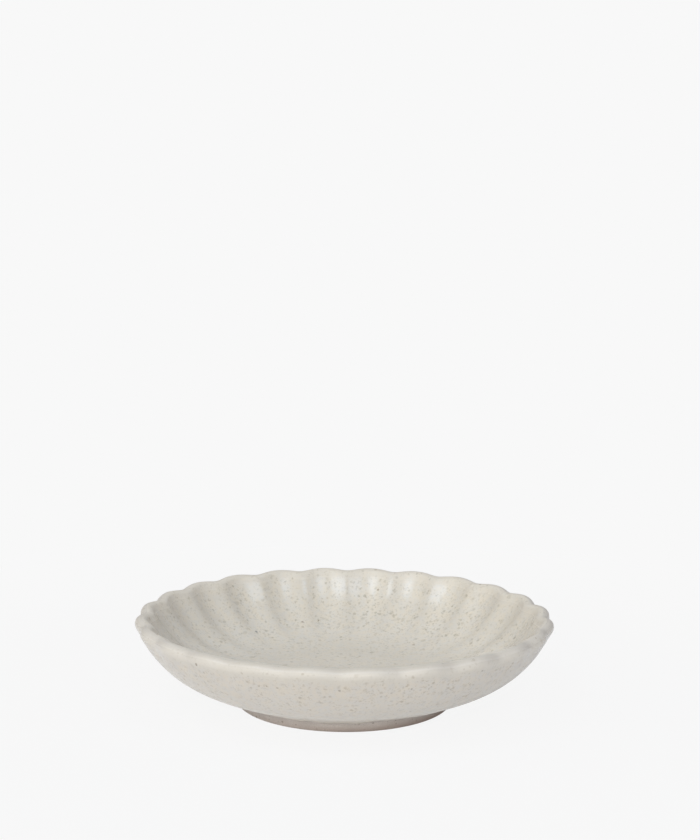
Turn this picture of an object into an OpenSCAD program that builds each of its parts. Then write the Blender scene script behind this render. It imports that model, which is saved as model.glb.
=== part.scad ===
// Fluted soy sauce dish in glazed stoneware: a round bowl with radial flutes and a lobed rim,
// on a bare turned foot ring, with one glaze coat poured inside and one dipped outside.
// Millimetres, +Z up, origin on the table under the middle of the dish.

/* [Dish] */
// Diameter across the lobes of the rim
dish_d = 100; // [90:1:120]
// Height from the table to the top of the rim
dish_h = 21.4; // [19:0.2:28]
// Thickness of the rounded rim, glaze included
rim_t = 2.6; // [2.2:0.1:3.6]
// Diameter of the flat floor inside the bowl
floor_d = 44; // [36:1:50]
// Height of the floor inside the bowl above the table
floor_h = 6.3; // [5.6:0.1:8]

/* [Flutes] */
// Number of flutes round the bowl
flute_count = 24; // [16:1:28]
// Height of a ridge between two flutes above their hollows
ridge_h = 0.5; // [0.3:0.05:1.2]
// Distance that the rim is drawn in at each ridge
rim_nip = 0.85; // [0.2:0.05:1.2]
// Distance that the rim dips at each ridge
rim_dip = 0.5; // [0:0.1:1]

/* [Wall] */
// Slope of the wall below the rim, in degrees from level
rim_slope = 59; // [52:1:68]
// Slope of the outside where it leaves the foot, in degrees from level
skirt_slope = 18; // [12:1:24]
// Slope of the inside where it leaves the floor, in degrees from level
floor_slope = 4; // [0:1:10]

/* [Foot] */
// Diameter of the foot ring at the table
foot_d = 51.6; // [46:0.2:54]
// Height of the foot ring
foot_h = 2.9; // [2:0.1:3.4]
// Width of the foot ring at the table
foot_w = 4.6; // [3:0.1:7]
// Bevel on the lower edges of the foot ring
foot_bevel = 0.5; // [0.2:0.1:0.8]
// Distance that each side of the foot ring leans out towards the bowl
foot_lean = 0.3; // [0:0.1:0.6]

/* [Glaze] */
// Thickness of the poured glaze in the hollows and on the floor
liner_t = 0.6; // [0.4:0.05:0.8]
// Thickness of the poured glaze on the ridges
ridge_glaze_t = 0.3; // [0.2:0.05:0.4]
// Thickness of the glaze on the crest of the rim
rim_glaze_t = 0.3; // [0.2:0.05:0.4]
// Thickness of the dipped glaze on the outside
dip_t = 0.4; // [0.25:0.05:0.6]
// Gap between the rolled lower edge of the outside glaze and the foot ring
glaze_clear = 0.35; // [0.2:0.05:0.6]
// Distance that the lower edge of the outside glaze hangs below the top of the foot ring
glaze_drop = 0.3; // [0.1:0.05:0.5]
// Rise of the lower edge of the outside glaze under each ridge
glaze_wave = 0.15; // [0:0.05:0.3]

/* [Hidden] */

clay_colour = [0.62, 0.56, 0.49];
liner_colour = [0.78, 0.77, 0.72];
outer_colour = [0.80, 0.77, 0.72];

// Where the columns of points stand across one flute, as shares of its pitch from its ridge
column_shares = [0, 0.13, 0.33, 0.5, 0.67, 0.87];
// How round a ridge is: 0 is a knife edge
ridge_round_share = 0.28;
// Shares of the inside face: where a ridge starts above the floor, and over how much of it the ridge rises
// to its full height and falls again to the crest of the rim
ridge_start_share = 0.05;
ridge_rise_share = 0.55;
ridge_fall_share = 0.15;
// How far each end of the two wall curves is drawn towards the corner of the curve's end tangents
floor_fullness_share = 0.68;
inside_fullness_share = 0.8;
outside_fullness_share = 0.92;
skirt_fullness_share = 0.77;
// Share of the inside face, from floor to crest, that lies below the rounded rim
inside_wall_share = 0.9;
// Steps along each stretch of the section
inside_steps = 6;
inner_rim_steps = 2;
outer_rim_steps = 3;
// Where the rows of points lie down the outside, as shares of its curve from the rim to the hem
outside_shares = [0.13, 0.4, 0.7, 1];
// Share of the outside over which the nip and dip of the rim die out, and the last share of it that the
// wave of the hem takes up
notch_share = 0.18;
wave_share = 0.1;

pitch = 360 / flute_count;
rim_r = rim_t / 2;
foot_r = foot_d / 2;
foot_top_r = foot_r + foot_lean;
crest_row = 1 + inside_steps + inner_rim_steps;

// Point helpers in the plane of a section, where a point is [radius, height]
function along(angle) = [cos(angle), sin(angle)];
function blend(a, b, share) = a + (b - a) * share;
function cross_2d(a, b) = a[0] * b[1] - a[1] * b[0];

// Corner where the line from a at slope a_slope meets the line from b at slope b_slope
function corner(a, a_slope, b, b_slope) =
    a + along(a_slope) * cross_2d(b - a, along(b_slope)) / cross_2d(along(a_slope), along(b_slope));

// Control points of a wall curve from a to b that leaves each end along its slope
function wall_curve(a, a_slope, a_share, b, b_slope, b_share) =
    let (bend = corner(a, a_slope, b, b_slope))
    [a, blend(a, bend, a_share), blend(b, bend, b_share), b];

function curve_point(c, s) =
    c[0] * pow(1 - s, 3) + c[1] * 3 * s * pow(1 - s, 2) + c[2] * 3 * s * s * (1 - s) + c[3] * pow(s, 3);

function curve_heading(c, s) =
    let (d = (c[1] - c[0]) * pow(1 - s, 2) + (c[2] - c[1]) * 2 * s * (1 - s) + (c[3] - c[2]) * s * s)
    atan2(d[1], d[0]);

// Eased step from 0 to 1
function eased(x) =
    let (y = min(1, max(0, x)))
    y * y * (3 - 2 * y);

// Height of a ridge at a share of the way from the floor's edge to the crest of the rim
function relief_share(inside_share) =
    eased((inside_share - ridge_start_share) / ridge_rise_share)
    * eased((1 - inside_share) / ridge_fall_share);

// One row of a section: its point on the glaze, the way its surface faces, and the glaze's thickness there
function row(point, facing, glaze_t) = [point, along(facing), glaze_t];

function shifted(a_row, distance) = [a_row[0] + a_row[1] * distance, a_row[1], a_row[2]];

// Section of the glazed surface from the middle of the floor, up the inside, over the rim and down to the
// lower edge of the outside glaze. ridge_share is 0 through the middle of a flute and 1 through a ridge.
function section(ridge_share) =
    let (
        lobe_middle = [dish_d / 2 - rim_r, dish_h - rim_r],
        notch = [-rim_nip, -rim_dip] * ridge_share,
        rim_middle = lobe_middle + notch,
        floor_edge = [floor_d / 2, floor_h],
        hem = [foot_top_r + glaze_clear, foot_h - glaze_drop],
        inner_facing = rim_slope + 90,
        outer_facing = rim_slope - 90,
        inside = wall_curve(floor_edge, floor_slope, floor_fullness_share,
                            rim_middle + along(inner_facing) * rim_r, rim_slope, inside_fullness_share),
        outside = wall_curve(lobe_middle + along(outer_facing) * rim_r, rim_slope, outside_fullness_share,
                             hem, skirt_slope, skirt_fullness_share)
    )
    concat(
        [row([0, floor_h], 90, liner_t)],
        [for (i = [0 : inside_steps])
            let (
                s = i / inside_steps,
                relief = relief_share(s * inside_wall_share) * ridge_share,
                coat_t = blend(liner_t, ridge_glaze_t, relief)
            )
            shifted(row(curve_point(inside, s), curve_heading(inside, s) + 90, coat_t), ridge_h * relief)],
        [for (i = [1 : inner_rim_steps])
            let (
                s = i / inner_rim_steps,
                facing = blend(inner_facing, 90, s),
                relief = relief_share(blend(inside_wall_share, 1, s)) * ridge_share,
                coat_t = blend(blend(liner_t, ridge_glaze_t, relief), rim_glaze_t, s)
            )
            shifted(row(rim_middle + along(facing) * rim_r, facing, coat_t), ridge_h * relief)],
        [for (i = [1 : outer_rim_steps])
            let (s = i / outer_rim_steps, facing = blend(90, outer_facing, s))
            row(rim_middle + along(facing) * rim_r, facing, blend(rim_glaze_t, dip_t, s))],
        [for (s = outside_shares)
            let (
                notched = notch * (1 - eased(s / notch_share)),
                lifted = along(skirt_slope) * glaze_wave * ridge_share * eased(1 - (1 - s) / wave_share)
            )
            row(curve_point(outside, s) + notched + lifted, curve_heading(outside, s) + 90, dip_t)]
    );

hollow_section = section(0);
ridge_section = section(1);
row_count = len(hollow_section);
last_row = row_count - 1;

// How far a place across a flute lies from ridge, 0, to hollow, 1
function hollow_share(column_share) =
    (norm([sin(180 * column_share), ridge_round_share]) - ridge_round_share)
    / (norm([1, ridge_round_share]) - ridge_round_share);

// Angle and hollow share of every column of points round the dish
columns =
    [for (flute = [0 : flute_count - 1]) for (share = column_shares)
        [(flute + share) * pitch, hollow_share(share)]];
n = len(columns);

// A point of a section at a depth share of the glaze: 0 on its surface, 1 on the clay
function depth_point(a_row, depth_share) = a_row[0] - a_row[1] * a_row[2] * depth_share;

// The ring of points that one row sweeps round the dish
function ring(i, depth_share) =
    [for (c = columns)
        let (
            on_ridge = depth_point(ridge_section[i], depth_share),
            in_hollow = depth_point(hollow_section[i], depth_share),
            p = blend(on_ridge, in_hollow, c[1])
        )
        [p[0] * cos(c[0]), p[0] * sin(c[0]), p[1]]];

function round_ring(r, z) = [for (c = columns) [r * cos(c[0]), r * sin(c[0]), z]];

function rings(first, last, depth_share) = [for (i = [first : last]) each ring(i, depth_share)];

// Triangles between two neighbouring rings whose points start at a and b
function strip(a, b) =
    [for (k = [0 : n - 1])
        let (m = (k + 1) % n)
        each [[a + k, b + k, a + m], [a + m, b + k, b + m]]];

// Triangles over a run of rings, and from a point on the axis to one ring
function sheet(start, ring_count) =
    [for (i = [0 : ring_count - 2]) each strip(start + i * n, start + (i + 1) * n)];
function fan(middle, start) = [for (k = [0 : n - 1]) [middle, start + k, start + (k + 1) % n]];

// The same triangles seen from their other side
function turned(faces) = [for (f = faces) [f[2], f[1], f[0]]];

// Fired clay of the bowl: fluted inside, lobed at the rim, flat underneath where the foot ring is luted on
module bowl_body() {
    seat = last_row * n;
    middle = seat + n;
    color(clay_colour)
    polyhedron(
        concat(
            rings(1, last_row, 1),
            round_ring(foot_top_r, foot_h),
            [[0, 0, floor_h - liner_t], [0, 0, foot_h]]
        ),
        concat(fan(middle, 0), sheet(0, row_count), turned(fan(middle + 1, seat)))
    );
}

// Turned ring of bare clay that the dish stands on
module foot_ring() {
    color(clay_colour)
    rotate_extrude()
    polygon([
        [foot_top_r, foot_h],
        [foot_r - foot_w - foot_lean, foot_h],
        [foot_r - foot_w, foot_bevel],
        [foot_r - foot_w + foot_bevel, 0],
        [foot_r - foot_bevel, 0],
        [foot_r, foot_bevel]
    ]);
}

// Glaze poured into the bowl: floor, flutes and the inner half of the rim
module liner_glaze() {
    clay = crest_row * n;
    middle = clay * 2;
    color(liner_colour)
    polyhedron(
        concat(
            rings(1, crest_row, 0),
            rings(1, crest_row, 1),
            [[0, 0, floor_h], [0, 0, floor_h - liner_t]]
        ),
        concat(
            fan(middle, 0),
            sheet(0, crest_row),
            strip(clay - n, middle - n),
            turned(sheet(clay, crest_row)),
            turned(fan(middle + 1, clay))
        )
    );
}

// Glaze dipped over the outside: from the crest of the rim to a rolled edge just clear of the foot
module outer_glaze() {
    ring_count = row_count - crest_row;
    clay = ring_count * n;
    color(outer_colour)
    polyhedron(
        concat(rings(crest_row, last_row, 0), rings(crest_row, last_row, 1)),
        concat(
            sheet(0, ring_count),
            strip(clay - n, clay * 2 - n),
            turned(sheet(clay, ring_count)),
            turned(strip(0, clay))
        )
    );
}

bowl_body();
foot_ring();
liner_glaze();
outer_glaze();
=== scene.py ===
import math

import bpy
import numpy as np
from mathutils import Matrix, Vector


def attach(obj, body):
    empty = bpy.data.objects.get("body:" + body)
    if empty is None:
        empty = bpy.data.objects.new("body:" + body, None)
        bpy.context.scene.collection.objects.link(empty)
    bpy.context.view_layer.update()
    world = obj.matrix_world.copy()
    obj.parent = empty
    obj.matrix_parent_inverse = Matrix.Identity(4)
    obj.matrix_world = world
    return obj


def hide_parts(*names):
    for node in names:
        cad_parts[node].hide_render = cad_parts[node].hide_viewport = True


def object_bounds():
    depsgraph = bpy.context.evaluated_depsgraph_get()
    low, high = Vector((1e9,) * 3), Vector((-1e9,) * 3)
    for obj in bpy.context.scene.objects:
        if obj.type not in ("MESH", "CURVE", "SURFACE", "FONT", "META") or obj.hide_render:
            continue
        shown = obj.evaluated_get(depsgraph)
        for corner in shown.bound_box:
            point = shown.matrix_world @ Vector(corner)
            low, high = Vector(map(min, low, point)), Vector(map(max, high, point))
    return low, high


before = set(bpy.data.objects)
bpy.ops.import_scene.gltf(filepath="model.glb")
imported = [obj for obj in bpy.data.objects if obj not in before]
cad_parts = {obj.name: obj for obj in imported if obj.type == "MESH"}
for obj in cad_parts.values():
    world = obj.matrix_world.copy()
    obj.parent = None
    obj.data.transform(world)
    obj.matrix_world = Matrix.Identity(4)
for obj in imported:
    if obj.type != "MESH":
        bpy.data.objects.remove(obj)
cad_box = [list(corner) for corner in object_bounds()]

MM = 0.001

# Sizes of the dish in millimetres, slopes in degrees and shares of its curves, all the same as in the solids
DISH_D, DISH_H, RIM_T = 100.0, 21.4, 2.6
FLOOR_D, FLOOR_H = 44.0, 6.3
FLUTES, RIDGE_H, RIM_NIP, RIM_DIP = 24, 0.5, 0.85, 0.5
RIM_SLOPE, SKIRT_SLOPE, FLOOR_SLOPE = 59.0, 18.0, 4.0
FOOT_D, FOOT_H, FOOT_W, FOOT_BEVEL, FOOT_LEAN = 51.6, 2.9, 4.6, 0.5, 0.3
LINER_T, RIDGE_GLAZE_T, RIM_GLAZE_T, DIP_T = 0.6, 0.3, 0.3, 0.4
GLAZE_CLEAR, GLAZE_DROP, GLAZE_WAVE = 0.35, 0.3, 0.15
RIDGE_START, RIDGE_RISE, RIDGE_FALL = 0.05, 0.55, 0.15
FLOOR_FULL, INSIDE_FULL, OUTSIDE_FULL, SKIRT_FULL = 0.68, 0.8, 0.92, 0.77
INSIDE_WALL, NOTCH, WAVE = 0.9, 0.18, 0.1

# The photographed rim and ridges are rounder than those of the solids: how many millimetres thicker the rim is and
# how far it draws in, and how round the top of a ridge is as a share of half the step between flutes
RIM_FULLER, RIM_DRAWN, RIDGE_ROUND = 0.6, 0.2, 0.40

# Fineness of the meshes
COLUMNS = FLUTES * 20
FLOOR_ROWS, INSIDE_ROWS, INNER_RIM_ROWS, OUTER_RIM_ROWS, OUTSIDE_ROWS = 16, 60, 12, 16, 48
BACK_EVERY = 4

# Edges that turn by more degrees than this are drawn sharp: those where a coat ends
CREASE = 50.0


def along(angle):
    return np.array([math.cos(math.radians(angle)), math.sin(math.radians(angle))])


def cross_2d(a, b):
    return a[0] * b[1] - a[1] * b[0]


def smooth(x):
    x = np.clip(x, 0.0, 1.0)
    return x * x * (3.0 - 2.0 * x)


def wall_curve(a, a_slope, a_share, b, b_slope, b_share):
    bend = a + along(a_slope) * cross_2d(b - a, along(b_slope)) / cross_2d(along(a_slope), along(b_slope))
    return [a, a + (bend - a) * a_share, b + (bend - b) * b_share, b]


def curve_point(c, s):
    return c[0] * (1 - s) ** 3 + c[1] * 3 * s * (1 - s) ** 2 + c[2] * 3 * s * s * (1 - s) + c[3] * s ** 3


def curve_heading(c, s):
    d = (c[1] - c[0]) * (1 - s) ** 2 + (c[2] - c[1]) * 2 * s * (1 - s) + (c[3] - c[2]) * s * s
    return math.degrees(math.atan2(d[1], d[0]))


def relief(u):
    return float(smooth((u - RIDGE_START) / RIDGE_RISE) * smooth((1 - u) / RIDGE_FALL))


def section(ridge, fuller, drawn):
    """Rows of (point, facing, glaze thickness, kind, place along it), from the floor's middle to the hem."""
    rim_r = (RIM_T + fuller) / 2
    lobe = np.array([DISH_D / 2 - drawn - rim_r, DISH_H - rim_r])
    notch = np.array([-RIM_NIP, -RIM_DIP]) * ridge
    rim = lobe + notch
    floor_edge = np.array([FLOOR_D / 2, FLOOR_H])
    hem = np.array([FOOT_D / 2 + FOOT_LEAN + GLAZE_CLEAR, FOOT_H - GLAZE_DROP])
    inner, outer = RIM_SLOPE + 90, RIM_SLOPE - 90
    inside_end, outside_start = rim + along(inner) * rim_r, lobe + along(outer) * rim_r
    inside = wall_curve(floor_edge, FLOOR_SLOPE, FLOOR_FULL, inside_end, RIM_SLOPE, INSIDE_FULL)
    outside = wall_curve(outside_start, RIM_SLOPE, OUTSIDE_FULL, hem, SKIRT_SLOPE, SKIRT_FULL)
    rows = []
    for i in range(FLOOR_ROWS):
        s = i / FLOOR_ROWS
        rows.append((np.array([FLOOR_D / 2 * s, FLOOR_H]), along(90), LINER_T, "floor", s))
    for i in range(INSIDE_ROWS + 1):
        s = i / INSIDE_ROWS
        lift = relief(s * INSIDE_WALL) * ridge
        coat = LINER_T + (RIDGE_GLAZE_T - LINER_T) * lift
        n = along(curve_heading(inside, s) + 90)
        rows.append((curve_point(inside, s) + n * RIDGE_H * lift, n, coat, "inside", s))
    for i in range(1, INNER_RIM_ROWS + 1):
        s = i / INNER_RIM_ROWS
        n = along(inner + (90 - inner) * s)
        lift = relief(INSIDE_WALL + (1 - INSIDE_WALL) * s) * ridge
        coat = LINER_T + (RIDGE_GLAZE_T - LINER_T) * lift
        coat += (RIM_GLAZE_T - coat) * s
        rows.append((rim + n * (rim_r + RIDGE_H * lift), n, coat, "inner_rim", s))
    for i in range(1, OUTER_RIM_ROWS + 1):
        s = i / OUTER_RIM_ROWS
        n = along(90 + (outer - 90) * s)
        rows.append((rim + n * rim_r, n, RIM_GLAZE_T + (DIP_T - RIM_GLAZE_T) * s, "outer_rim", s))
    for i in range(1, OUTSIDE_ROWS + 1):
        s = i / OUTSIDE_ROWS
        n = along(curve_heading(outside, s) + 90)
        notched = notch * (1 - smooth(s / NOTCH))
        lifted = along(SKIRT_SLOPE) * GLAZE_WAVE * ridge * smooth(1 - (1 - s) / WAVE)
        rows.append((curve_point(outside, s) + notched + lifted, n, DIP_T, "outside", s))
    return rows


SKIN = [section(ridge, RIM_FULLER, RIM_DRAWN) for ridge in (0, 1)]
SOLID = [section(ridge, 0, 0) for ridge in (0, 1)]
HOLLOW = SKIN[0]
KINDS = [r[3] for r in HOLLOW]
CREST = KINDS.index("outer_rim") - 1
LAST = len(HOLLOW) - 1

angle = np.arange(COLUMNS) * 2 * math.pi / COLUMNS
across = (np.arange(COLUMNS) * FLUTES / COLUMNS) % 1.0
hollow = np.hypot(np.sin(math.pi * across), RIDGE_ROUND) - RIDGE_ROUND
hollow /= math.hypot(1, RIDGE_ROUND) - RIDGE_ROUND


def swept(i, depth):
    """Points round row i: the face of the glaze at depth 0, the clay of the solids under it at depth 1."""
    b, a = (rows[i][0] - rows[i][1] * rows[i][2] * depth for rows in (SOLID if depth else SKIN))
    p = a + (b - a) * hollow[:, None]
    return np.stack([p[:, 0] * np.cos(angle), p[:, 0] * np.sin(angle), p[:, 1]], 1)


# The facets of the solids cut the lobes a little short, and the fine mesh is drawn in by as much
widest = max(swept(i, 0)[:, 0].max() for i in range(len(HOLLOW)))
PLAN = np.array([min(1.0, cad_box[1][0] / MM / widest)] * 2 + [1.0])


# Towards its lower edge the outside glaze sags, in some places more than in others, and closes in on the foot. Each
# wave is its depth in millimetres, its number round the dish, and its turn
SAG, SAG_WAVES = 0.31, ((0.10, 7, 0.6), (0.07, 13, 2.1), (0.09, 25, 0.0))
SAG_START, HEM_IN = 0.7, 0.2
sag = SAG + sum(depth * np.sin(number * angle + turn) for depth, number, turn in SAG_WAVES)


def ring(i, depth):
    points = swept(i, depth) * PLAN
    if KINDS[i] == "outside":
        settled = float(smooth((HOLLOW[i][4] - SAG_START) / (1 - SAG_START)))
        points[:, 2] -= sag * settled
        points[:, :2] *= 1 - settled * HEM_IN / (FOOT_D / 2)
    return points


def strip(a, b):
    k = np.arange(COLUMNS)
    m = (k + 1) % COLUMNS
    return np.stack([a + k, b + k, b + m, a + m], 1).tolist()


def fan(middle, start):
    k = np.arange(COLUMNS)
    return np.stack([np.full(COLUMNS, middle), start + k, start + (k + 1) % COLUMNS], 1).tolist()


def turned(faces):
    return [f[::-1] for f in faces]


def make_piece(name, points, faces, material, replaces=(), layers=None):
    mesh = bpy.data.meshes.new(name)
    mesh.from_pydata((np.asarray(points) * MM).tolist(), [], faces)
    mesh.validate()
    mesh.shade_smooth()
    mesh.set_sharp_from_angle(angle=math.radians(CREASE))
    for key, values in (layers or {}).items():
        layer = mesh.attributes.new(key, "FLOAT", "POINT")
        layer.data.foreach_set("value", np.asarray(values, np.float32))
    mesh.materials.append(material)
    piece = bpy.data.objects.new(name, mesh)
    bpy.context.scene.collection.objects.link(piece)
    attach(piece, "root")
    if replaces:
        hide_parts(*replaces)
    return piece


# Materials

def srgb(r, g, b):
    def line(v):
        v /= 255.0
        return v / 12.92 if v <= 0.04045 else ((v + 0.055) / 1.055) ** 2.4
    return (line(r), line(g), line(b), 1.0)


# Specks: how uneven their outlines are, the size and strength of the least of them, and the dark core of a spot
WOBBLE_SIZE, WOBBLE, LEAST_DOT, SPOT_CORE = 0.7, 0.55, 0.35, 0.3


class Nodes:
    """Builds one material's nodes."""

    def __init__(self, name):
        self.material = bpy.data.materials.new(name)
        self.material.use_nodes = True
        self.tree = self.material.node_tree
        self.shader = self.tree.nodes["Principled BSDF"]

    def add(self, kind, **settings):
        node = self.tree.nodes.new(kind)
        for key, value in settings.items():
            setattr(node, key, value)
        return node

    def put(self, value, socket):
        if isinstance(value, bpy.types.NodeSocket):
            self.tree.links.new(value, socket)
        else:
            socket.default_value = value

    def place(self):
        return self.add("ShaderNodeTexCoord").outputs["Object"]

    def layer(self, name):
        return self.add("ShaderNodeAttribute", attribute_name=name).outputs["Fac"]

    def axes(self, vector):
        node = self.add("ShaderNodeSeparateXYZ")
        self.put(vector, node.inputs[0])
        return node.outputs

    def math(self, operation, a, b=0.0, c=0.0, clamp=False):
        node = self.add("ShaderNodeMath", operation=operation, use_clamp=clamp)
        for value, socket in zip((a, b, c), node.inputs):
            self.put(value, socket)
        return node.outputs[0]

    def times(self, a, b):
        return self.math("MULTIPLY", a, b)

    def remap(self, value, low, high, to_low=0.0, to_high=1.0):
        node = self.add("ShaderNodeMapRange", interpolation_type="SMOOTHSTEP")
        self.put(value, node.inputs["Value"])
        self.put(low, node.inputs["From Min"])
        self.put(high, node.inputs["From Max"])
        self.put(to_low, node.inputs["To Min"])
        self.put(to_high, node.inputs["To Max"])
        return node.outputs["Result"]

    def span(self, value, ends_mm, to_low=0.0, to_high=1.0):
        """Remaps between two places along an axis."""
        return self.remap(value, ends_mm[0] * MM, ends_mm[1] * MM, to_low, to_high)

    def noise(self, vector, size_mm, detail=2.0, rough=0.5):
        node = self.add("ShaderNodeTexNoise")
        self.put(vector, node.inputs["Vector"])
        node.inputs["Scale"].default_value = 1.0 / (size_mm * MM)
        node.inputs["Detail"].default_value = detail
        node.inputs["Roughness"].default_value = rough
        return node

    def mix(self, fac, a, b, blend="MIX"):
        node = self.add("ShaderNodeMix", data_type="RGBA", blend_type=blend)
        self.put(fac, node.inputs["Factor"])
        self.put(a, node.inputs["A"])
        self.put(b, node.inputs["B"])
        return node.outputs["Result"]

    def specks(self, vector, size_mm, dot_share, edge_share, density):
        """Dots in cells of size_mm. density is the share of cells that hold a dot."""
        wobble = self.noise(vector, size_mm * WOBBLE_SIZE)
        shift = self.add("ShaderNodeVectorMath", operation="MULTIPLY_ADD")
        self.put(wobble.outputs["Color"], shift.inputs[0])
        shift.inputs[1].default_value = (size_mm * MM * WOBBLE,) * 3
        self.put(vector, shift.inputs[2])
        cells = self.add("ShaderNodeTexVoronoi", feature="F1")
        self.put(shift.outputs[0], cells.inputs["Vector"])
        cells.inputs["Scale"].default_value = 1.0 / (size_mm * MM)
        pick = self.add("ShaderNodeSeparateColor")
        self.put(cells.outputs["Color"], pick.inputs[0])
        there = self.math("LESS_THAN", pick.outputs["Red"], density)
        radius = self.math("MULTIPLY_ADD", pick.outputs["Green"], dot_share, dot_share * LEAST_DOT)
        inner = self.math("SUBTRACT", radius, edge_share)
        dot = self.remap(cells.outputs["Distance"], radius, inner)
        strength = self.math("MULTIPLY_ADD", pick.outputs["Blue"], 1 - LEAST_DOT, LEAST_DOT)
        return self.times(self.times(dot, there), strength)

    def spot(self, vector, centre, radius):
        away = self.add("ShaderNodeVectorMath", operation="DISTANCE")
        self.put(vector, away.inputs[0])
        away.inputs[1].default_value = [c * MM for c in centre]
        return self.span(away.outputs["Value"], (radius, radius * SPOT_CORE))

    def dent(self, strength, distance_mm, height):
        bump = self.add("ShaderNodeBump")
        bump.inputs["Strength"].default_value = strength
        bump.inputs["Distance"].default_value = distance_mm * MM
        self.put(height, bump.inputs["Height"])
        self.put(bump.outputs[0], self.shader.inputs["Normal"])


# Glaze: sizes of its patches and of its specks in millimetres
CLOUD, BLOTCH, MOTTLE, TINT, STREAK, DIMPLE = 9.0, 3.2, 1.1, 1.7, 0.7, 1.6
FINE, MIDDLE, SOFT, COARSE = 0.6, 1.1, 1.8, 2.2

# Heights in millimetres over which the wall lightens, its specks thicken and the skirt is painted paler as painted
# light from the bright table below, and how far to the sides the worn crest's painted shade fades
WALL_LIGHT, WALL_SPECKS, SKIRT_LIT_SPAN, CREST_SHADE_FADE = (6.4, 9.5), (6.5, 10.0), (8.0, 3.0), (12.0, 45.0)
SKIRT_PAINTED_LIGHT, RIDGE_SHADE_COLOUR = srgb(244, 240, 232), srgb(176, 170, 160)
CREST_WEAR_AND_SHADE, HEM_COLOUR = srgb(202, 195, 182), srgb(194, 200, 206)

# One larger iron spot in the poured glaze, in millimetres
IRON_SPOT, IRON_R, IRON_COLOUR = (-23.0, 26.5, 9.2), 0.6, srgb(104, 110, 112)


def glaze_material(name, warm, cool, thin, speck, big_speck, dirt, many_fine, many_coarse, skirt_painted_light, light_wall):
    n = Nodes(name)
    place = n.place()
    axes = n.axes(place)
    thinness, crest = n.layer("thin"), n.layer("crest")
    cloud = n.noise(place, CLOUD, 3.0, 0.55).outputs["Fac"]
    blotch = n.noise(place, BLOTCH, 3.0, 0.6).outputs["Fac"]
    mottle = n.noise(place, MOTTLE, 4.0, 0.65).outputs["Fac"]
    tint = n.noise(place, TINT, 5.0, 0.7).outputs["Fac"]
    streak = n.remap(n.noise(place, STREAK, 3.0, 0.6).outputs["Fac"], 0.54, 0.70)

    # The glaze itself, cloudy and mottled
    bare = n.math("ADD", thinness, n.times(n.math("SUBTRACT", blotch, 0.5), 0.7), clamp=True)
    pooled = n.mix(n.remap(tint, 0.38, 0.62), warm, cool)
    colour = n.mix(bare, pooled, thin)
    shade = n.math("ADD", n.times(mottle, 0.07), n.times(cloud, 0.07))
    shade = n.math("ADD", shade, n.span(axes["Z"], WALL_LIGHT, 0.93, 0.93 + light_wall))
    tone = n.add("ShaderNodeCombineColor")
    for socket in tone.inputs:
        n.put(shade, socket)
    colour = n.mix(1.0, colour, tone.outputs[0], "MULTIPLY")
    # Painted light: towards the hem the skirt is painted paler, standing for light from the bright table below
    colour = n.mix(n.times(n.span(axes["Z"], SKIRT_LIT_SPAN), skirt_painted_light), colour, SKIRT_PAINTED_LIGHT)

    # Specks, more of them in patches, where the glaze is thick and up the wall
    patchy = n.math("ADD", n.times(blotch, 0.6), n.times(cloud, 0.4))
    patchy = n.remap(patchy, 0.34, 0.64, 0.25, 1.0)
    wet = n.times(patchy, n.math("SUBTRACT", 1.0, n.times(thinness, 0.75)))
    wet = n.times(wet, n.span(axes["Z"], WALL_SPECKS, 0.85, 1.2))
    fine = n.specks(place, FINE, 0.46, 0.36, n.times(wet, many_fine))
    middle = n.specks(place, MIDDLE, 0.40, 0.32, n.times(wet, many_fine * 0.8))
    soft = n.specks(place, SOFT, 0.40, 0.36, n.times(wet, many_fine * 0.9))
    coarse = n.specks(place, COARSE, 0.16, 0.08, n.times(patchy, many_coarse))
    colour = n.mix(n.times(n.times(streak, wet), dirt), colour, speck)
    colour = n.mix(n.times(fine, dirt * 0.58), colour, speck)
    colour = n.mix(n.times(middle, dirt * 1.2), colour, speck)
    colour = n.mix(n.times(soft, dirt * 0.75), colour, speck)
    colour = n.mix(n.times(coarse, 0.6), colour, big_speck)
    colour = n.mix(n.times(n.spot(place, IRON_SPOT, IRON_R), 0.7), colour, IRON_COLOUR)

    # Ridges greyed with painted shade for their shaded flanks, a worn crest, less so at the sides, and a bluish hem
    colour = n.mix(n.times(n.layer("ridges"), 0.16), colour, RIDGE_SHADE_COLOUR)
    # The crest's warm brown is the glaze breaking thin, and partly painted shade that darkens the rim's front and
    # back more than its sides
    worn_and_shaded = n.times(n.remap(crest, 0.65, 1.0), n.remap(blotch, 0.3, 0.7, 0.35, 0.65))
    worn_and_shaded = n.times(worn_and_shaded, n.span(n.math("ABSOLUTE", axes["X"]), CREST_SHADE_FADE, 1.0, 0.25))
    colour = n.mix(worn_and_shaded, colour, CREST_WEAR_AND_SHADE)
    colour = n.mix(n.times(n.layer("hem"), 0.8), colour, HEM_COLOUR)
    n.put(colour, n.shader.inputs["Base Color"])
    n.put(n.remap(crest, 0.05, 0.5, 0.22, 0.42), n.shader.inputs["Roughness"])
    n.shader.inputs["IOR"].default_value = 1.5
    n.dent(0.5, 0.006, n.math("ADD", n.noise(place, DIMPLE, 2.0).outputs["Fac"], n.times(fine, -0.5)))
    return n.material


# Clay: sizes of its blotches, grain and dots, the height over which it darkens towards the table, a toasted edge with
# painted shade where it meets the table, and how far to the left that fades and to the right it grows as painted
# shade away from the light, in millimetres
CLAY_BLOTCH, GRAIN, DOT = 5.0, 0.22, 0.8
TOAST, SHADE_FADE_LEFT, SHADE_RIGHT = (2.0, 0.1), (-22.0, 4.0), (4.0, 22.0)
CLAY_COLOURS = srgb(216, 210, 209), srgb(226, 220, 219)
GRAIN_COLOUR, DOT_COLOUR, TOAST_AND_SHADE_COLOUR = srgb(172, 165, 163), srgb(118, 102, 88), srgb(166, 151, 146)


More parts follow.
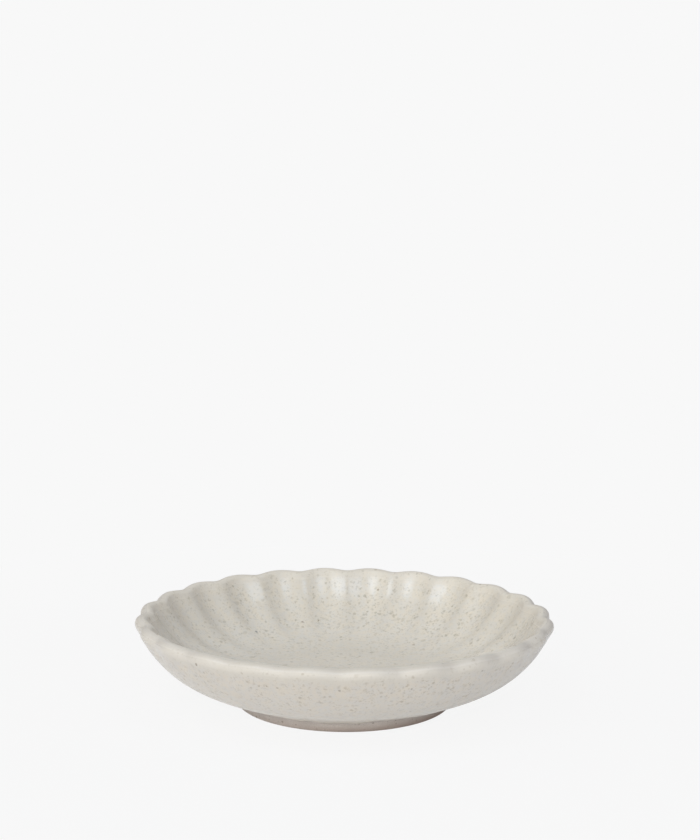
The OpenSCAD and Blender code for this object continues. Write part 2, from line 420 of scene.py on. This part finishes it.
def clay_material():
    n = Nodes("bare_clay")
    place = n.place()
    axes = n.axes(place)
    blotch = n.noise(place, CLAY_BLOTCH, 3.0).outputs["Fac"]
    grain = n.noise(place, GRAIN, 3.0, 0.7).outputs["Fac"]
    colour = n.mix(n.remap(blotch, 0.3, 0.7), *CLAY_COLOURS)
    colour = n.mix(n.remap(grain, 0.35, 0.75, 0.0, 0.35), colour, GRAIN_COLOUR)
    colour = n.mix(n.times(n.specks(place, DOT, 0.34, 0.22, 0.45), 0.7), colour, DOT_COLOUR)
    # Painted shade: the clay darkens towards the table and more so to the right, away from the light; its warm tone
    # is the toasted edge
    toast_and_shade = n.times(n.span(axes["Z"], TOAST, 0.0, 0.75), n.span(axes["X"], SHADE_FADE_LEFT, 0.35, 1.0))
    toast_and_shade = n.math("ADD", toast_and_shade, n.span(axes["X"], SHADE_RIGHT, 0.0, 0.3), clamp=True)
    colour = n.mix(toast_and_shade, colour, TOAST_AND_SHADE_COLOUR)
    n.put(colour, n.shader.inputs["Base Color"])
    n.shader.inputs["Roughness"].default_value = 0.85
    n.dent(0.5, 0.06, grain)
    return n.material


liner_material = glaze_material(
    "liner_glaze", warm=srgb(219, 212, 198), cool=srgb(215, 211, 202), thin=srgb(219, 213, 201),
    speck=srgb(118, 106, 66), big_speck=srgb(120, 96, 70), dirt=0.30, many_fine=1.0, many_coarse=0.22,
    skirt_painted_light=0.0, light_wall=0.042)
outer_material = glaze_material(
    "outer_glaze", warm=srgb(214, 207, 196), cool=srgb(210, 206, 200), thin=srgb(215, 210, 201),
    speck=srgb(130, 110, 74), big_speck=srgb(112, 92, 68), dirt=0.32, many_fine=0.62, many_coarse=0.38,
    skirt_painted_light=0.9, light_wall=-0.005)
clay = clay_material()


# Glaze coats. The hem is tinted from this share of the outside on
HEM_START = 0.975


def rows_layers(indices):
    """For each row, how thin the glaze is, how near the rim's crest, where ridges show, and whether it is the hem."""
    layers = {"thin": [], "crest": [], "ridges": [], "hem": []}
    # Where the ridges get their painted shade
    ridge_shade_line = (1 - hollow) ** 1.5
    for i in indices:
        kind, s = HOLLOW[i][3], HOLLOW[i][4]
        thin, worn_and_shaded, ridged, hem = 0.0, 0.0, 0.0, 0.0
        if kind == "inside":
            thin = 0.55 * float(smooth((s - 0.86) / 0.14))
            worn_and_shaded = 0.5 * float(smooth((s - 0.93) / 0.07))
            ridged = relief(s * INSIDE_WALL)
        elif kind == "inner_rim":
            thin, worn_and_shaded = 0.55 + 0.45 * s, 0.5 + 0.25 * s
        elif kind == "outer_rim":
            thin = 1.0 - 0.15 * s
            worn_and_shaded = (0.75 + 0.25 * float(smooth(s / 0.12))) * (1.0 - float(smooth((s - 0.3) / 0.3)))
        elif kind == "outside":
            thin = 0.85 * float(smooth((0.05 - s) / 0.05))
            hem = 1.0 if s > HEM_START else 0.0
        layers["thin"].append(np.full(COLUMNS, thin))
        layers["crest"].append(np.full(COLUMNS, worn_and_shaded))
        layers["ridges"].append(ridge_shade_line * ridged)
        layers["hem"].append(np.full(COLUMNS, hem))
    return {key: np.concatenate(values) for key, values in layers.items()}


def coat(name, first, last, material, slot, on_floor):
    """A coat from one row to another: its face, its back on the clay, and what closes it at its ends."""
    front = list(range(first, last + 1))
    back = sorted(set(front[::BACK_EVERY]) | {last})
    points = [ring(i, 0) for i in front] + [ring(i, 1) for i in back]
    layers = rows_layers(front + back)
    clay_start = len(front) * COLUMNS
    end = clay_start + len(back) * COLUMNS
    faces = fan(end, 0) if on_floor else []
    for i in range(len(front) - 1):
        faces += strip(i * COLUMNS, (i + 1) * COLUMNS)
    faces += strip(clay_start - COLUMNS, end - COLUMNS)
    for i in range(len(back) - 1):
        faces += turned(strip(clay_start + i * COLUMNS, clay_start + (i + 1) * COLUMNS))
    if on_floor:
        faces += turned(fan(end + 1, clay_start))
        points.append(np.array([[0, 0, FLOOR_H], [0, 0, FLOOR_H - LINER_T]]))
        layers = {key: np.append(values, [0, 0]) for key, values in layers.items()}
    else:
        faces += turned(strip(0, clay_start))
    make_piece(name, np.concatenate(points), faces, material, [slot], layers)


coat("liner_coat", 1, CREST, liner_material, "liner_glaze", True)
coat("outer_coat", CREST, LAST, outer_material, "outer_glaze", False)

# Bare clay: the foot ring with softly worn edges, and the base inside it
EDGE_STEPS = 8
foot_r, inner_r = FOOT_D / 2, FOOT_D / 2 - FOOT_W
profile = [(inner_r - FOOT_LEAN, FOOT_H)]
for i in range(EDGE_STEPS + 1):
    turn = math.radians(180 + 90 * i / EDGE_STEPS)
    profile.append((inner_r + FOOT_BEVEL * (1 + math.cos(turn)), FOOT_BEVEL * (1 + math.sin(turn))))
for i in range(EDGE_STEPS + 1):
    turn = math.radians(270 + 90 * i / EDGE_STEPS)
    profile.append((foot_r + FOOT_BEVEL * (math.cos(turn) - 1), FOOT_BEVEL * (1 + math.sin(turn))))
profile.append((foot_r + FOOT_LEAN, FOOT_H))
rings = [np.stack([r * np.cos(angle), r * np.sin(angle), np.full(COLUMNS, z)], 1) for r, z in profile]
faces = []
for i in range(len(profile)):
    faces += turned(strip(i * COLUMNS, (i + 1) % len(profile) * COLUMNS))
make_piece("foot_turned", np.concatenate(rings), faces, clay, ["foot_ring"])
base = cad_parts["bowl_body"]
base.data.materials.clear()
base.data.materials.append(clay)

# Floor, light and camera
FLOOR_SIZE, BACKDROP_Y, BACKDROP_H = 6.0, 2.5, 5.0
SWEEP_R, SWEEP_STEPS = 0.8, 12
floor_mesh = bpy.data.meshes.new("floor")
sweep = [(-FLOOR_SIZE, 0.0)]
for step in range(SWEEP_STEPS + 1):
    turn = math.radians(90 * step / SWEEP_STEPS)
    sweep.append((BACKDROP_Y + SWEEP_R * math.sin(turn), SWEEP_R - SWEEP_R * math.cos(turn)))
sweep.append((BACKDROP_Y + SWEEP_R, BACKDROP_H))
low = cad_box[0][2]
verts, quads = [], []
for y, z in sweep:
    verts += [(-FLOOR_SIZE, y, low + z), (FLOOR_SIZE, y, low + z)]
for i in range(len(sweep) - 1):
    quads.append((2 * i, 2 * i + 1, 2 * i + 3, 2 * i + 2))
floor_mesh.from_pydata(verts, [], quads)
floor_mesh.shade_smooth()

# The floor is pale to the camera, and near the dish it glows in the glaze's mirror as a painted reflection of a
# bright table, weaker to the right as painted shadow of the dish, but lights the dish as a plain floor does.
# Under the dish its shadow stays. Distances from the dish are in metres
FLOOR_TONE, GLOW_TONE = (0.93, 0.93, 0.93, 1), (0.939, 0.939, 0.939, 1)
SHADOW_END, SHADOW_DEPTH = (0.06, 0.18), 0.955
MIRROR_END, REFLECTION_GLOW, REFLECTION_SHADOW_SPAN, REFLECTION_SHADOW_SHARE = (0.10, 0.35), 0.6, (0.0, 0.08), 0.4
floor_nodes = Nodes("pale_floor")
floor_nodes.shader.inputs["Base Color"].default_value = FLOOR_TONE
floor_nodes.shader.inputs["Roughness"].default_value = 0.9
glow = floor_nodes.add("ShaderNodeEmission")
glow.inputs["Color"].default_value = GLOW_TONE
path = floor_nodes.add("ShaderNodeLightPath").outputs
floor_place = floor_nodes.place()
reach = floor_nodes.add("ShaderNodeVectorMath", operation="LENGTH")
floor_nodes.put(floor_place, reach.inputs[0])
plain = floor_nodes.remap(reach.outputs["Value"], *SHADOW_END, SHADOW_DEPTH, 1.0)
direct = floor_nodes.math("ADD", path["Is Camera Ray"], path["Is Transmission Ray"], clamp=True)
# Painted reflection: near the dish the floor glows to glossy rays, less so to the right as painted shadow of the dish
near = floor_nodes.remap(reach.outputs["Value"], *MIRROR_END, REFLECTION_GLOW, 0.0)
reflection_shadow = floor_nodes.remap(floor_nodes.axes(floor_place)["X"], *REFLECTION_SHADOW_SPAN, 1.0, REFLECTION_SHADOW_SHARE)
painted_reflection = floor_nodes.times(path["Is Glossy Ray"], floor_nodes.times(near, reflection_shadow))
seen = floor_nodes.math("ADD", floor_nodes.times(direct, plain), painted_reflection, clamp=True)
both = floor_nodes.add("ShaderNodeMixShader")
floor_nodes.put(seen, both.inputs[0])
floor_nodes.put(floor_nodes.shader.outputs[0], both.inputs[1])
floor_nodes.put(glow.outputs[0], both.inputs[2])
floor_nodes.put(both.outputs[0], floor_nodes.tree.nodes["Material Output"].inputs["Surface"])
floor_mesh.materials.append(floor_nodes.material)
floor = bpy.data.objects.new("floor", floor_mesh)
bpy.context.scene.collection.objects.link(floor)

AIM = Vector((0, 0, 10 * MM))
VIEW_TURN = math.radians(0.8)


def stand(azimuth, elevation, distance):
    """A place seen from the dish: azimuth in degrees to the right of the camera's side, and elevation."""
    a, e = math.radians(azimuth), math.radians(elevation)
    place = Vector((math.sin(a) * math.cos(e), -math.cos(a) * math.cos(e), math.sin(e))) * distance
    return AIM + Matrix.Rotation(VIEW_TURN, 3, "Z") @ place


def softbox(name, azimuth, elevation, distance, width, height, watts, colour=(1, 1, 1)):
    lamp = bpy.data.lights.new(name, "AREA")
    lamp.shape = "RECTANGLE"
    lamp.size, lamp.size_y = width, height
    lamp.energy = watts
    lamp.color = colour
    thing = bpy.data.objects.new(name, lamp)
    thing.location = stand(azimuth, elevation, distance)
    thing.rotation_euler = (AIM - thing.location).to_track_quat("-Z", "Y").to_euler()
    bpy.context.scene.collection.objects.link(thing)


# Two cool windows stand to the left and right, and the rest of the light is a little warm to balance them. Each box
# has its azimuth and elevation in degrees, its distance, width and height in metres, and its watts
WINDOW, WARM = (0.62, 0.77, 0.98), (1.0, 0.945, 0.82)
softbox("left_box", -40, 56, 0.9, 0.40, 0.31, 1.8, WINDOW)
softbox("right_box", 39, 56, 0.9, 0.40, 0.31, 1.3, WINDOW)
softbox("key", -55, 34, 1.2, 1.5, 1.2, 4.55, WARM)
softbox("fill", -2, 19, 1.2, 1.4, 0.28, 4.5, WARM)
softbox("rear", 180, 40, 1.4, 1.6, 0.9, 1.65, WARM)

world = bpy.data.worlds.new("studio")
bpy.context.scene.world = world
world.use_nodes = True
sky = world.node_tree.nodes["Background"].inputs
sky["Color"].default_value = (1.0, 0.95, 0.93, 1)
sky["Strength"].default_value = 0.37

# Camera, fitted to the outline of the dish in a frame of 700 by 840
DISTANCE, ELEVATION, FOCAL_PX = 0.400, 15.68, 1648.0
FRAME_W, SENSOR_W = 700.0, 36.0
YAW, PITCH, ROLL = (math.radians(v) for v in (0.149, 8.228, 0.335))
camera_data = bpy.data.cameras.new("camera")
camera_data.sensor_fit = "HORIZONTAL"
camera_data.sensor_width = SENSOR_W
camera_data.lens = SENSOR_W * FOCAL_PX / FRAME_W
camera_data.clip_start = 0.01
camera = bpy.data.objects.new("camera", camera_data)
bpy.context.scene.collection.objects.link(camera)
e = math.radians(ELEVATION)
right = Vector((1, 0, 0))
up = Vector((0, math.sin(e), math.cos(e)))
ahead = Vector((0, math.cos(e), -math.sin(e)))
right, ahead = right * math.cos(YAW) - ahead * math.sin(YAW), right * math.sin(YAW) + ahead * math.cos(YAW)
up, ahead = up * math.cos(PITCH) - ahead * math.sin(PITCH), up * math.sin(PITCH) + ahead * math.cos(PITCH)
right, up = right * math.cos(ROLL) + up * math.sin(ROLL), up * math.cos(ROLL) - right * math.sin(ROLL)
turn = Matrix((right, up, -ahead)).transposed()
spot = Vector((0, -DISTANCE * math.cos(e), AIM.z + DISTANCE * math.sin(e)))
spin = Matrix.Rotation(VIEW_TURN, 4, "Z")
camera.matrix_world = spin @ (Matrix.Translation(spot) @ turn.to_4x4())
bpy.context.scene.camera = camera

bpy.context.scene.view_settings.view_transform = "Standard"

bpy.context.view_layer.update()
